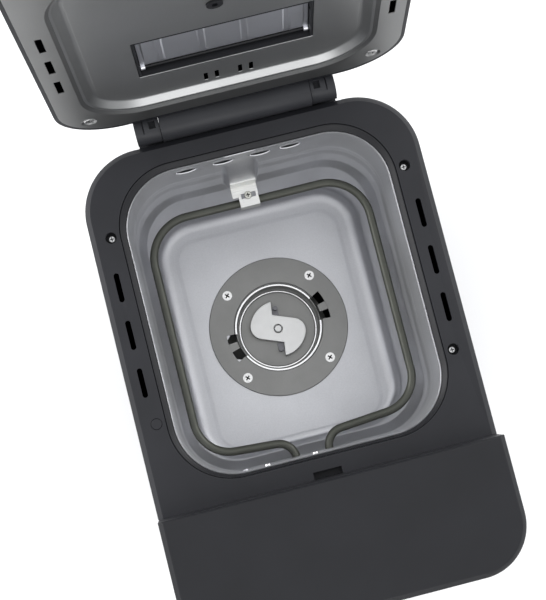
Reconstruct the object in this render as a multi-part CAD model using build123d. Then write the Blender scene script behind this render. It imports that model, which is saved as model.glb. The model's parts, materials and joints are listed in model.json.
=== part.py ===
"""A domestic bread machine, standing on a table with its lid open.

Millimetres, +Z up. The origin is on the table, under the kneading drive shaft. The front, with
the control panel, faces -Y. The lid's own pieces are drawn shut and then turned open together.
"""

from build123d import *
from math import radians, tan
import os

# Outside of the casing
HALF_WIDTH = 127.6
BACK_Y = 137.7
FRONT_Y = -227.4
BACK_RADIUS = 47.0
FRONT_RADIUS = 40.0
WALL = 2.6
FOOT_HEIGHT = 6.0
BASE_TOP = 24.0
SHELL_TOP = 316.0
DECK_Z = 330.0
SHOULDER = 4.0

# Raised control panel in front of the lid
STEP_Y = -131.8
PANEL_SEAM_Z = 366.0
PANEL_TOP_Z = 374.0
PANEL_BEVEL = 3.6
REAR_BEVEL = 1.5
FRONT_TAPER = 3.5

# Baking chamber
CHAMBER_HALF = 99.3
CHAMBER_FRONT = -113.3
CHAMBER_BACK = 115.6
CHAMBER_RADIUS = 43.0
SHEET = 0.8
LINER_TOP = DECK_Z - 2.3
FLOOR_Z = 102.0
LOWER_HALF = 93.0
LOWER_FRONT = -106.0
LOWER_BACK = 112.5
LOWER_RADIUS = 38.0
RING_HALF = 105.0
RING_FRONT = -116.3
RING_BACK = 121.5
RING_RADIUS = 47.0

# Heating element
HEATER_Z = DECK_Z - 95.0
HEATER_R = 3.3
HEATER_HALF = 89.2
HEATER_BACK = 94.5
HEATER_ENTRIES = (-16.5, 10.5)

# Pan seat in the chamber floor
FLANGE_R = 62.0
FLANGE_Z = FLOOR_Z + 2.2
FLANGE_HOLE_R = 40.5
COLLAR_R = 39.4
NOTCH_R = 47.2
NOTCH_START = -4.0
NOTCH_END = 28.0
FLANGE_SCREW_CIRCLE = 53.5
SCREW_ANGLES = (45, 135, 225, 315)
SINK_R = 4.3
SINK_DEPTH = 1.8
CUP_RIM_R = 38.2
CUP_BASE_R = 35.0
CUP_TOP = FLANGE_Z - 7.0
CUP_BOTTOM = FLANGE_Z - 32.0

# Drive
SHAFT_R = 4.0
RUNNING = 0.05
COUPLER_R = 25.4
COUPLER_THICK = 7.0
COUPLER_TOP = CUP_BOTTOM + 9.0
PULLEY_R = 45.0
MOTOR_PULLEY_R = 9.0
PULLEY_Z = 36.0
PULLEY_H = 10.0
BELT_GAP = 0.3
BELT_THICK = 1.6
MOTOR_Y = -177.0

# Lid, hinged behind the deck
HINGE_Y = 150.2
HINGE_Z = 327.9
OPEN_ANGLE = 96.57
BARREL_R = 12.0
BARREL_HALF = 57.2
ARM_END = 76.2
PIN_R = 3.0
LID_FRONT = STEP_Y + 0.6
LID_RIM_Z = DECK_Z + 0.6
LID_TOP_Z = PANEL_TOP_Z
RECESS_DEPTH = 7.0
SLOT_X = 115.0
SLOT_PITCH = 36.1

# Nut dispenser in the lid
HOPPER_HALF = 62.0
HOPPER_FRONT = 12.0
HOPPER_BACK = 71.6
HOPPER_WALL = 1.6
FLAP_Z = LID_RIM_Z + RECESS_DEPTH + 5.5
FLAP_PIVOT_Y = HOPPER_BACK - 5.0


# ---- helpers -------------------------------------------------------------------------------


def slab(plan, low, high):
    """A flat plan pulled up from one height to another."""
    return Pos(0, 0, low) * extrude(plan, amount=high - low)


def block(x, y, z):
    """A box given by its (low, high) along each axis."""
    size = (x[1] - x[0], y[1] - y[0], z[1] - z[0])
    return Pos(sum(x) / 2, sum(y) / 2, sum(z) / 2) * Box(*size)


def post(x, y, radius, low, high):
    """An upright round bar."""
    return Pos(x, y, (low + high) / 2) * Cylinder(radius, high - low)


def rod(y, z, radius, left, right):
    """A round bar along X."""
    return Pos((left + right) / 2, y, z) * Rot(0, 90, 0) * Cylinder(radius, right - left)


def plan_rect(half, front, back, radius):
    """A rectangle across the middle line, with four equal corners."""
    return Pos(0, (front + back) / 2) * RectangleRounded(2 * half, back - front, radius)


def casing_plan(inset=0.0):
    """The casing seen from above, or the same shape inset by a wall."""
    half = HALF_WIDTH - inset
    front = FRONT_Y + inset
    back = BACK_Y - inset
    plan = Pos(0, (front + back) / 2) * Rectangle(2 * half, back - front)
    rows = plan.vertices().group_by(Axis.Y)
    plan = fillet(rows[0], FRONT_RADIUS - inset)
    rows = plan.vertices().group_by(Axis.Y)
    return fillet(rows[-1], BACK_RADIUS - inset)


def lid_plan(inset=0.0):
    """The lid seen from above: square at the control panel, rounded at the back."""
    half = HALF_WIDTH - inset
    front = LID_FRONT + inset
    back = BACK_Y - inset
    plan = Pos(0, (front + back) / 2) * Rectangle(2 * half, back - front)
    return fillet(plan.vertices().group_by(Axis.Y)[-1], BACK_RADIUS - inset)


def behind(shape, y):
    """The part of a shape behind a plane across the machine."""
    return shape & block((-400, 400), (y, 600), (-10, 800))


def ahead(shape, y):
    """The part of a shape in front of a plane across the machine."""
    return shape & block((-400, 400), (-600, y), (-10, 800))


def chamber_plan(grow=0.0):
    """The chamber's plan, grown outward by a distance."""
    return plan_rect(
        CHAMBER_HALF + grow, CHAMBER_FRONT - grow, CHAMBER_BACK + grow, CHAMBER_RADIUS + grow
    )


def lower_plan(grow=0.0):
    """The chamber's plan under the heater, grown outward by a distance."""
    return plan_rect(LOWER_HALF + grow, LOWER_FRONT - grow, LOWER_BACK + grow, LOWER_RADIUS + grow)


def stack(sections, grow=0.0):
    """Ruled walls through (height, plan, growth) sections, all grown by a further distance."""
    faces = [Pos(0, 0, z) * plan(own + grow) for z, plan, own in sections]
    solid = loft(faces[:2], ruled=True)
    for lower, upper in zip(faces[1:], faces[2:]):
        solid += loft([lower, upper], ruled=True)
    return solid


def polar_spots(radius, angles):
    """Locations on a circle round the drive shaft."""
    return [Rot(0, 0, angle) * Pos(radius, 0, 0) for angle in angles]


def opened(shape):
    """A lid piece drawn shut, turned open about the hinge."""
    return Pos(0, HINGE_Y, HINGE_Z) * Rot(-OPEN_ANGLE, 0, 0) * Pos(0, -HINGE_Y, -HINGE_Z) * shape


def pan_head_screw(head_r, head_h, shank_r, length):
    """A cross-head screw pointing down, its seat at the origin."""
    head = Pos(0, 0, head_h / 2) * Cylinder(head_r, head_h)
    head = fillet(head.edges().group_by(Axis.Z)[-1], head_h * 0.45)
    shank = Pos(0, 0, -length / 2) * Cylinder(shank_r, length)
    arm = Box(head_r * 1.1, head_r * 0.26, head_h)
    cross = Pos(0, 0, head_h * 0.95) * (arm + Rot(0, 0, 90) * arm)
    return head + shank - cross


def separate(shapes):
    """Several loose solids as one node."""
    return Compound([solid for shape in shapes for solid in shape.solids()])


# ---- casing --------------------------------------------------------------------------------

FOOT_SPOTS = [(x, y) for x in (-92, 92) for y in (-178, 92)]
LEG_SPOTS = [(x, y) for x in (-70, 70) for y in (-74, 74)]
DECK_SCREWS = ((112.1, 77.2), (-112.1, 77.2), (112.1, -64.0))
PLUG_SPOT = (-112.1, -64.0)
RECESS_R = 4.25
SCREW_SINK = 7.4


def base_plate():
    """The moulded tray that everything stands on, with cooling slots."""
    floor = slab(casing_plan(1.0), FOOT_HEIGHT, FOOT_HEIGHT + 2.5)
    rim = slab(casing_plan(1.0) - casing_plan(1.0 + WALL), FOOT_HEIGHT, BASE_TOP)
    plate = floor + rim
    for x, y in FOOT_SPOTS:
        plate -= post(x, y, 3.2, 0, 20)
    for i in range(-3, 4):
        plate -= block((i * 14 - 2.5, i * 14 + 2.5), (-215, -190), (0, 20))
        plate -= block((i * 14 - 2.5, i * 14 + 2.5), (96, 122), (0, 20))
    return plate


def rubber_feet():
    """Four push-in rubber feet."""
    feet = []
    for x, y in FOOT_SPOTS:
        pad = post(x, y, 10, 0, FOOT_HEIGHT)
        pad = chamfer(pad.edges().group_by(Axis.Z)[0], 1.0)
        stem = post(x, y, 3.0, FOOT_HEIGHT, 9.0) + post(x, y, 4.2, 8.6, 10.6)
        feet.append(pad + stem)
    return separate(feet)


def body_shell():
    """Side and back walls in one piece, with cooling slots and the cord's hole."""
    shell = behind(slab(casing_plan() - casing_plan(WALL), BASE_TOP, SHELL_TOP), STEP_Y)
    for x in range(-40, 41, 10):
        for low in (60, 92):
            shell -= block((x - 2, x + 2), (BACK_Y - 6, BACK_Y + 2), (low, low + 24))
    hole = Pos(GLAND_X, BACK_Y, GLAND_Z) * Rot(90, 0, 0) * Cylinder(GLAND_R, 20)
    for x, z in HINGE_SCREWS:
        shell -= Pos(x, BACK_Y, z) * Rot(90, 0, 0) * Cylinder(1.8, 20)
    return shell - hole


def front_cover():
    """The front of the casing, up to the control panel, with the step wall behind the lid."""
    lower = slab(casing_plan() - casing_plan(WALL), BASE_TOP, DECK_Z - 3)
    rise = PANEL_SEAM_Z - DECK_Z + 3
    outer = Pos(0, 0, DECK_Z - 3) * extrude(casing_plan(), amount=rise, taper=FRONT_TAPER)
    inner = Pos(0, 0, DECK_Z - 3) * extrude(casing_plan(WALL), amount=rise, taper=FRONT_TAPER)
    cover = ahead(lower + (outer - inner), STEP_Y)
    step_block = block((-140, 140), (STEP_Y - WALL, STEP_Y), (SHELL_TOP - 6, PANEL_SEAM_Z))
    solid_front = slab(casing_plan(), BASE_TOP, DECK_Z - 3) + outer
    return cover + (step_block & solid_front)


def control_panel():
    """The smooth top of the raised front, a shallow cap with bevelled edges."""
    inset = (PANEL_SEAM_Z - DECK_Z + 3) * tan(radians(FRONT_TAPER))
    cap = ahead(slab(casing_plan(inset), PANEL_SEAM_Z, PANEL_TOP_Z), STEP_Y)
    rim = cap.faces().sort_by(Axis.Z)[-1].edges().sort_by(Axis.Y)[:-1]
    cap = chamfer(rim, PANEL_BEVEL)
    cap = chamfer(cap.faces().sort_by(Axis.Z)[-1].edges().sort_by(Axis.Y)[-1], REAR_BEVEL)
    hollow = slab(casing_plan(inset + WALL), PANEL_SEAM_Z - 1, PANEL_TOP_Z - 4.2)
    return cap - ahead(hollow, STEP_Y - WALL)


def deck_envelope():
    """The deck's outside as a solid: a slab with a shoulder round its sides and back."""
    solid = behind(slab(casing_plan(), SHELL_TOP, DECK_Z), STEP_Y)
    top = solid.faces().sort_by(Axis.Z)[-1]
    edges = top.edges().sort_by(Axis.Y)[1:]
    return chamfer(edges, SHOULDER)


def top_deck():
    """The black frame round the chamber: slots, screw wells and the latch pocket."""
    deck = deck_envelope()
    hollow = behind(slab(casing_plan(WALL + 1.2), SHELL_TOP - 1, DECK_Z - WALL), STEP_Y + WALL)
    deck -= hollow
    curb = slab(ring_plan(WALL) - ring_plan(0.4), SHELL_TOP + 4, DECK_Z - WALL)
    deck += behind(curb, STEP_Y + 1)
    for x, y in DECK_SCREWS + (PLUG_SPOT,):
        deck += post(x, y, RECESS_R + 1.6, SHELL_TOP + 3, DECK_Z - WALL)
        deck -= post(x, y, RECESS_R, DECK_Z - SCREW_SINK - 2, DECK_Z + 5)
        deck -= post(x, y, 2.0, SHELL_TOP, DECK_Z)
    for side in (-1, 1):
        for i in (-1, 0, 1):
            slot = Pos(side * SLOT_X, 3.7 + i * SLOT_PITCH) * SlotOverall(22, 4, rotation=90)
            deck -= slab(slot, SHELL_TOP - 2, DECK_Z + 2)
    pocket = block((-12, 12.7), (STEP_Y, -124.6), (DECK_Z - 11, DECK_Z - 1))
    deck += pocket
    deck -= block((-10.3, 11), (STEP_Y, -126.2), (DECK_Z - 9.5, DECK_Z + 2))
    return deck - slab(ring_plan(0.4), SHELL_TOP - 2, DECK_Z + 2)


def ring_plan(grow=0.0):
    """The trim ring's outer plan, grown outward by a distance."""
    return plan_rect(RING_HALF + grow, RING_FRONT - grow, RING_BACK + grow, RING_RADIUS + grow)


def chamber_trim_ring():
    """The ring between deck and liner, sloping down to the chamber's edge."""
    ring = slab(ring_plan() - chamber_plan(SHEET + 0.2), DECK_Z - 8, DECK_Z - 0.6)
    slope = loft(
        [
            Pos(0, 0, DECK_Z - 2.4) * chamber_plan(SHEET + 0.1),
            Pos(0, 0, DECK_Z - 0.5) * plan_rect(
                RING_HALF - 0.9, RING_FRONT + 0.9, RING_BACK - 0.9, RING_RADIUS - 0.9
            ),
        ],
        ruled=True,
    )
    return ring - slope


def deck_screws():
    """Three screws at the bottom of the deck's wells."""
    screw = pan_head_screw(2.8, 1.9, 1.8, 9)
    seat = DECK_Z - SCREW_SINK - 2
    return separate(Pos(x, y, seat) * screw for x, y in DECK_SCREWS)


def deck_screw_plug():
    """The flush plug over the fourth well."""
    x, y = PLUG_SPOT
    plug = post(x, y, RECESS_R - 0.15, DECK_Z - 4, DECK_Z)
    return chamfer(plug.edges().group_by(Axis.Z)[-1], 0.4)


# ---- baking chamber ------------------------------------------------------------------------

LOUVRE_X = (-46.5, -17.8, 10.8, 34.0)
CLIP_X = -5.0
CLIP_Z = HEATER_Z + 6.4
CLIP_SCREW_X = CLIP_X + 2.0
CLIP_SCREW_Y = 98.4
PAD_HALF = 12.0
PAD_Y = CHAMBER_BACK - 7.5
BEAD = 2.4
WALL_SECTIONS = (
    (FLOOR_Z, lower_plan, -9.0),
    (FLOOR_Z + 2.5, lower_plan, -3.5),
    (FLOOR_Z + 9, lower_plan, -0.6),
    (HEATER_Z - 23, lower_plan, 0.0),
    (HEATER_Z - 10, chamber_plan, 0.0),
    (HEATER_Z + 20, chamber_plan, 0.0),
    (HEATER_Z + 26, chamber_plan, BEAD),
    (HEATER_Z + 34, chamber_plan, BEAD),
    (HEATER_Z + 40, chamber_plan, 0.0),
    (LINER_TOP, chamber_plan, 0.0),
)


def clip_pad(inset):
    """The pressed pad on the back wall that carries the heater's bracket, filled solid."""
    front, wall = PAD_Y + inset, CHAMBER_BACK + inset
    profile = Polyline(
        (wall, HEATER_Z - 13), (front, HEATER_Z - 3), (front, HEATER_Z + 28), (wall, HEATER_Z + 66),
        (wall + 4, HEATER_Z + 66), (wall + 4, HEATER_Z - 13), close=True,
    )
    half = PAD_HALF - inset
    return Pos(CLIP_X, 0, 0) * extrude(Plane.YZ * make_face(profile), amount=half, both=True)


def chamber_liner():
    """The drawn steel chamber, with a stiffening bead and air slots high in its back wall."""
    floor_z, floor_plan, floor_grow = WALL_SECTIONS[0]
    underside = (floor_z - SHEET, floor_plan, floor_grow)
    outside = stack((underside, *WALL_SECTIONS[1:]), SHEET)
    liner = outside - stack(WALL_SECTIONS) + (outside & clip_pad(0.0)) - clip_pad(SHEET)
    liner -= post(0, 0, FLANGE_HOLE_R + 1, FLOOR_Z - 5, FLOOR_Z + 2)
    for half_turn in (0, 180):
        first, last = half_turn + NOTCH_START - 1.5, half_turn + NOTCH_END + 1.5
        liner -= notch_sector(FLANGE_HOLE_R, NOTCH_R + 0.8, first, last, FLOOR_Z - 5, FLOOR_Z + 2)
    for spot in polar_spots(FLANGE_SCREW_CIRCLE, SCREW_ANGLES):
        liner -= spot * post(0, 0, 2.0, FLOOR_Z - 5, FLOOR_Z + 2)
    for x in LOUVRE_X:
        liner -= block((x - 8, x + 8), (CHAMBER_BACK - 3, CHAMBER_BACK + 4), (314, 317))
    for x in HEATER_ENTRIES:
        liner -= Pos(x, CHAMBER_FRONT, HEATER_Z) * Rot(90, 0, 0) * Cylinder(HEATER_R + 0.3, 12)
    sensor_hole = Pos(SENSOR_X, CHAMBER_FRONT, SENSOR_Z) * Rot(90, 0, 0) * Cylinder(3.2, 12)
    return liner - sensor_hole


def heat_shield():
    """A thin steel jacket between the hot chamber and the plastic casing."""
    def jacket(grow):
        return plan_rect(107.8 + grow, -121.6 - grow, 124.2 + grow, 46 + grow)

    shield = slab(jacket(SHEET) - jacket(0), FLOOR_Z - 6, SHELL_TOP - 4)
    for x in HEATER_ENTRIES:
        shield -= Pos(x, -122, HEATER_Z) * Rot(90, 0, 0) * Cylinder(6.4, 12)
    return shield - Pos(SENSOR_X, -122, SENSOR_Z) * Rot(90, 0, 0) * Cylinder(4.4, 12)


def heater_element():
    """The sheathed element: a loop round the chamber, both ends out through the front wall."""
    left, right = HEATER_ENTRIES
    route = [
        (left, -127, HEATER_Z),
        (left, -101, HEATER_Z),
        (-HEATER_HALF, -95.5, HEATER_Z),
        (-HEATER_HALF, HEATER_BACK, HEATER_Z),
        (HEATER_HALF, HEATER_BACK, HEATER_Z),
        (HEATER_HALF, -94.5, HEATER_Z),
        (right, -101, HEATER_Z),
        (right, -127, HEATER_Z),
    ]
    path = FilletPolyline(*route, radius=[14, 29, 34, 34, 29, 14])
    section = Plane(origin=route[0], z_dir=(0, 1, 0)) * Circle(HEATER_R)
    return sweep(section, path=path)


def heater_terminals():
    """Ceramic ends with push-on blades, outside the chamber."""
    ends = []
    for x in HEATER_ENTRIES:
        bush = Pos(x, -128.5, HEATER_Z) * Rot(90, 0, 0) * Cylinder(4.2, 3)
        blade = block((x - 0.4, x + 0.4), (-144, -130), (HEATER_Z - 3.1, HEATER_Z + 3.1))
        ends.append(bush + blade)
    return separate(ends)


def heater_clip():
    """The bracket that carries the element at the middle of the back wall."""
    wall_y = PAD_Y - 0.1
    wide = (CLIP_X - 10.5, CLIP_X + 10.5)
    narrow = (CLIP_X - 5.8, CLIP_X + 10.2)
    tab = block(wide, (wall_y - 1.5, wall_y), (CLIP_Z, CLIP_Z + 18))
    shelf = block(wide, (98, wall_y), (CLIP_Z, CLIP_Z + 1.5))
    front = HEATER_BACK - HEATER_R - 1.6
    strap = block(narrow, (front, 98), (CLIP_Z, CLIP_Z + 1.5))
    nose = block(narrow, (front, front + 1.4), (HEATER_Z - 5.5, CLIP_Z))
    hook = block(narrow, (front, 96), (HEATER_Z - 5.5, HEATER_Z - 4.2))
    bracket = tab + shelf + strap + nose + hook
    slot_y = (CLIP_SCREW_Y - 2.0, CLIP_SCREW_Y + 2.0)
    return bracket - block((CLIP_X - 3.5, CLIP_X + 8.4), slot_y, (CLIP_Z - 2, CLIP_Z + 4))


def heater_clip_screw():
    """The screw over the bracket's long slot."""
    screw = pan_head_screw(3.1, 1.8, 1.5, 3)
    return Pos(CLIP_SCREW_X, CLIP_SCREW_Y, CLIP_Z + 1.5) * screw


SENSOR_X = -58.0
SENSOR_Z = 290.0


def temperature_sensor():
    """The thermistor probe through the chamber's front wall."""
    probe = Pos(SENSOR_X, -117.4, SENSOR_Z) * Rot(90, 0, 0) * Cylinder(2.9, 10)
    collar = Pos(SENSOR_X, -117.5, SENSOR_Z) * Rot(90, 0, 0) * Cylinder(4.0, 6)
    return probe + collar


def thermal_fuse():
    """The overheat cut-out strapped to the outside of the heat shield."""
    y = -122.5
    body = block((40, 62), (y - 6, y), (268, 278))
    return fillet(body.edges().filter_by(Axis.X), 2.0)


def wall_rivets():
    """Two rivets high on the chamber's front wall."""
    y = CHAMBER_FRONT
    rivets = []
    for x in (-40.7, -4.5):
        dome = Pos(x, y + 0.9, LINER_TOP - 10) * Rot(90, 0, 0) * Cylinder(2.6, 1.8)
        rivets.append(fillet(dome.edges().group_by(Axis.Y)[-1], 1.2))
    return separate(rivets)


# ---- pan seat and drive --------------------------------------------------------------------


def notch_sector(inner, outer, start, end, low, high):
    """A ring sector cut for a pan lug."""
    ring = slab(Circle(outer) - Circle(inner), low, high)
    wedge_angle = end - start
    wedge = slab(
        make_face(
            Polyline(
                (0, 0),
                Vector(90, 0),
                Vector(90, 0).rotate(Axis.Z, wedge_angle),
                (0, 0),
            )
        ),
        low,
        high,
    )
    return ring & (Rot(0, 0, start) * wedge)


def pan_mount_flange():
    """The steel ring on the chamber floor: a collar down its hole, and two bayonet notches."""
    flange = slab(Circle(FLANGE_R) - Circle(COLLAR_R), FLOOR_Z, FLANGE_Z)
    flange = chamfer(flange.edges().group_by(Axis.Z)[-1].filter_by(GeomType.CIRCLE), 0.5)
    flange += slab(Circle(FLANGE_HOLE_R) - Circle(COLLAR_R), CUP_TOP + 0.3, FLOOR_Z)
    for half_turn in (0, 180):
        first, last = half_turn + NOTCH_START, half_turn + NOTCH_END
        flange -= notch_sector(COLLAR_R - 1, NOTCH_R, first, last, CUP_TOP, FLANGE_Z + 1)
        bridge_start, bridge_end = half_turn + 6, half_turn + 15
        flange += notch_sector(COLLAR_R, NOTCH_R + 0.4, bridge_start, bridge_end, FLOOR_Z, FLOOR_Z + 1.2)
    for spot in polar_spots(FLANGE_SCREW_CIRCLE, SCREW_ANGLES):
        flange -= spot * post(0, 0, 2.0, FLOOR_Z - 1, FLANGE_Z + 1)
        flange -= spot * Pos(0, 0, FLANGE_Z) * countersink(SINK_R + 0.1)
    return flange


def countersink(radius):
    """The cone of a countersunk head, its flat face at the origin."""
    cone = Cone(radius - 2.3, radius, SINK_DEPTH, align=(Align.CENTER, Align.CENTER, Align.MAX))
    return cone


def flange_screws():
    """Four countersunk cross-head screws, flush with the flange."""
    screw = countersink(SINK_R) + post(0, 0, 1.9, -9, -SINK_DEPTH)
    arm = Box(SINK_R * 1.1, SINK_R * 0.26, 1.8)
    screw -= arm + Rot(0, 0, 90) * arm
    return separate(spot * Pos(0, 0, FLANGE_Z) * screw
                    for spot in polar_spots(FLANGE_SCREW_CIRCLE, SCREW_ANGLES))


def well_cup():
    """The drawn cup that takes the pan's foot, round the coupler."""
    outer = Pos(0, 0, CUP_BOTTOM - SHEET) * Cone(
        CUP_BASE_R + SHEET, CUP_RIM_R + SHEET, CUP_TOP - CUP_BOTTOM + SHEET,
        align=(Align.CENTER, Align.CENTER, Align.MIN),
    )
    inner = Pos(0, 0, CUP_BOTTOM) * Cone(
        CUP_BASE_R, CUP_RIM_R, CUP_TOP - CUP_BOTTOM,
        align=(Align.CENTER, Align.CENTER, Align.MIN),
    )
    return outer - inner - post(0, 0, SHAFT_R + 3.2, CUP_BOTTOM - 4, CUP_BOTTOM + 4)


HOUSING_TOP = CUP_BOTTOM - SHEET
HOUSING_LOW = 50.0
HOUSING_BORE = 7.5


def bearing_housing():
    """The cast spider that hangs from the chamber floor and carries the shaft's bushes."""
    tube = post(0, 0, 11.5, HOUSING_LOW, HOUSING_TOP)
    plate = post(0, 0, 32, HOUSING_TOP - 3, HOUSING_TOP)
    spider = tube + plate
    leg_top = FLOOR_Z - SHEET
    for angle in SCREW_ANGLES:
        arm = block((25, 58.5), (-5, 5), (HOUSING_TOP - 6, HOUSING_TOP))
        leg = block((48.5, 58.5), (-5, 5), (HOUSING_TOP - 6, leg_top))
        spider += Rot(0, 0, angle) * (arm + leg)
    for spot in polar_spots(FLANGE_SCREW_CIRCLE, SCREW_ANGLES):
        spider -= spot * post(0, 0, 2.0, leg_top - 9, leg_top + 1)
    return spider - post(0, 0, HOUSING_BORE, HOUSING_LOW - 1, HOUSING_TOP + 1)


def shaft_bushes():
    """Two sintered bushes for the drive shaft."""
    def bush(low, high):
        return post(0, 0, HOUSING_BORE, low, high) - post(0, 0, SHAFT_R + RUNNING, low, high)

    return separate([bush(HOUSING_LOW, HOUSING_LOW + 7), bush(60, 66)])


def shaft_seal():
    """The lip seal over the upper bush."""
    low, high = 66.0, HOUSING_TOP
    return post(0, 0, HOUSING_BORE, low, high) - post(0, 0, SHAFT_R + 0.3, low, high)


def drive_shaft():
    """The kneading drive's shaft, its domed end standing proud of the coupler."""
    shaft = post(0, 0, SHAFT_R, PULLEY_Z - 4, COUPLER_TOP + 1.8)
    shaft = chamfer(shaft.edges().group_by(Axis.Z)[0], 0.6)
    return fillet(shaft.edges().group_by(Axis.Z)[-1], 1.7)


def coupler_plan():
    """The S-shaped outline: two round lobes, each cut square where the pan's dog bears."""
    arc_start = (23.9, -8.6)
    arc_end = (0.7, -COUPLER_R)
    outline = Line((-0.7, 24.6), (-2.2, 13.4))
    outline += Line((-2.2, 13.4), (17.5, 5.6))
    outline += ThreePointArc((17.5, 5.6), (22.6, 1.2), arc_start)
    outline += ThreePointArc(arc_start, (17.2, -18.7), arc_end)
    return outline


def kneading_coupler():
    """The cast coupler that turns the pan's paddle, pressed on the drive shaft."""
    half = coupler_plan()
    tip = (0.7, -COUPLER_R)
    join = Line(tip, (0.7, -24.6))
    turned = [Rot(0, 0, 180) * edge for edge in (half + join).edges()]
    face = make_face((half + join).edges() + ShapeList(turned))
    body = slab(face, COUPLER_TOP - COUPLER_THICK, COUPLER_TOP)
    hub = post(0, 0, 11, CUP_BOTTOM + 0.6, COUPLER_TOP - COUPLER_THICK)
    return body + hub - post(0, 0, SHAFT_R, CUP_BOTTOM, COUPLER_TOP + 1)


def coupler_dogs():
    """Two hardened pegs that stand beside the coupler's square faces."""
    dogs = []
    for turn in (0, 180):
        peg = post(1.9, 18.6, 2.0, CUP_BOTTOM + 2, COUPLER_TOP + 1.5)
        foot = block((-1.9, 3.9), (12.5, 20.6), (CUP_BOTTOM + 0.8, CUP_BOTTOM + 2.0))
        dogs.append(Rot(0, 0, turn) * (peg + foot))
    return separate(dogs)


def belt_pulley(radius, bore):
    """A crowned flat-belt pulley with side flanges."""
    low, high = PULLEY_Z, PULLEY_Z + PULLEY_H
    wheel = post(0, 0, radius, low, high)
    wheel += post(0, 0, radius + 1.6, low, low + 1) + post(0, 0, radius + 1.6, high - 1, high)
    return wheel - post(0, 0, bore, low - 1, high + 1)


def drive_pulley():
    """The large pulley under the chamber, lightened by round holes."""
    wheel = belt_pulley(PULLEY_R, SHAFT_R)
    for spot in polar_spots(27, range(0, 360, 60)):
        wheel -= spot * post(0, 0, 9, PULLEY_Z - 1, PULLEY_Z + PULLEY_H + 1)
    return wheel


def motor_pulley():
    """The small pulley on the motor."""
    return Pos(0, MOTOR_Y, 0) * belt_pulley(MOTOR_PULLEY_R, SHAFT_R)


def belt_plan(gap):
    """The open belt's outline round both pulleys, off their rims by a gap."""
    circles = Circle(PULLEY_R + gap) + Pos(0, MOTOR_Y) * Circle(MOTOR_PULLEY_R + gap)
    return make_hull(circles.edges())


def drive_belt():
    """The flat rubber belt."""
    loop = belt_plan(BELT_GAP + BELT_THICK) - belt_plan(BELT_GAP)
    return slab(loop, PULLEY_Z + 1.6, PULLEY_Z + PULLEY_H - 1.6)


MOTOR_LOW = 62.0
MOTOR_HIGH = 112.0
MOTOR_R = 38.0
ROTOR_R = 20.0


def motor_stator():
    """The motor's laminated core, with its windings as two rings."""
    core = post(0, MOTOR_Y, MOTOR_R, MOTOR_LOW + 12, MOTOR_HIGH - 12)
    for low in (MOTOR_LOW + 4, MOTOR_HIGH - 12):
        core += post(0, MOTOR_Y, MOTOR_R - 7, low, low + 8)
    return core - post(0, MOTOR_Y, ROTOR_R + 0.6, MOTOR_LOW, MOTOR_HIGH)


def motor_end_bells():
    """Two end caps with the rotor's bearings."""
    bells = []
    for low, cap in ((MOTOR_LOW, MOTOR_LOW), (MOTOR_HIGH - 12, MOTOR_HIGH - 2.5)):
        ring = post(0, MOTOR_Y, MOTOR_R - 1, low, low + 12) - post(0, MOTOR_Y, MOTOR_R - 4, low, low + 12)
        disc = post(0, MOTOR_Y, MOTOR_R - 1, cap, cap + 2.5)
        bells.append(ring + disc - post(0, MOTOR_Y, SHAFT_R + RUNNING, low - 3, low + 16))
    return separate(bells)


def motor_rotor():
    """The rotor on its shaft."""
    rotor = post(0, MOTOR_Y, ROTOR_R, MOTOR_LOW + 14, MOTOR_HIGH - 14)
    return rotor + post(0, MOTOR_Y, SHAFT_R, PULLEY_Z - 2, MOTOR_HIGH + 6)


BRACKET_SPOTS = [(x, MOTOR_Y + y) for x in (-48, 48) for y in (-28, 28)]
BRACKET_Z = 56.0


def motor_bracket():
    """The steel plate that carries the motor on four posts."""
    plate = block((-56, 56), (MOTOR_Y - 36, MOTOR_Y + 36), (BRACKET_Z, BRACKET_Z + 2))
    plate = fillet(plate.edges().filter_by(Axis.Z), 8)
    plate -= post(0, MOTOR_Y, 13, BRACKET_Z - 1, BRACKET_Z + 3)
    for x, y in BRACKET_SPOTS:
        plate -= post(x, y, 3.1, BRACKET_Z - 1, BRACKET_Z + 3)
    for x in (-22, 22):
        for y in (-22, 22):
            plate += post(x, MOTOR_Y + y, 3.5, BRACKET_Z + 2, MOTOR_LOW)
    return plate


def motor_grommets():
    """Rubber mounts between the bracket's posts and the plate."""
    rings = []
    for x, y in BRACKET_SPOTS:
        ring = post(x, y, 6, BRACKET_Z - 4, BRACKET_Z) + post(x, y, 3.0, BRACKET_Z, BRACKET_Z + 2)
        ring += post(x, y, 6, BRACKET_Z + 2, BRACKET_Z + 4)
        rings.append(ring)
    return separate(rings)


def chassis_posts():
    """Pillars on the base: four under the chamber and four under the motor's mounts."""
    floor = FOOT_HEIGHT + 2.5
    tall = [post(x, y, 6, floor, FLOOR_Z - SHEET) for x, y in LEG_SPOTS]
    short = [post(x, y, 5, floor, BRACKET_Z - 4) for x, y in BRACKET_SPOTS]
    return separate(tall + short)


# ---- electrics -----------------------------------------------------------------------------

GLAND_X = -68.0
GLAND_Z = 42.0
GLAND_R = 7.0
GLAND_BORE = 3.6


def cord_gland():
    """The bush in the back wall that a mains cord passes through."""
    face = Pos(GLAND_X, 0, GLAND_Z) * Rot(90, 0, 0)
    flange = Pos(0, BACK_Y + 1.5, 0) * face * Cylinder(GLAND_R + 2.5, 3)
    neck = Pos(0, BACK_Y - 5.5, 0) * face * Cylinder(GLAND_R - 0.1, 11)
    bore = Pos(0, BACK_Y - 4, 0) * face * Cylinder(GLAND_BORE, 30)
    return flange + neck - bore


def motor_capacitor():
    """The motor's run capacitor."""
    can = post(74, -196, 16, FOOT_HEIGHT + 2.5, 62)
    return fillet(can.edges().group_by(Axis.Z)[-1], 2.0)


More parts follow.
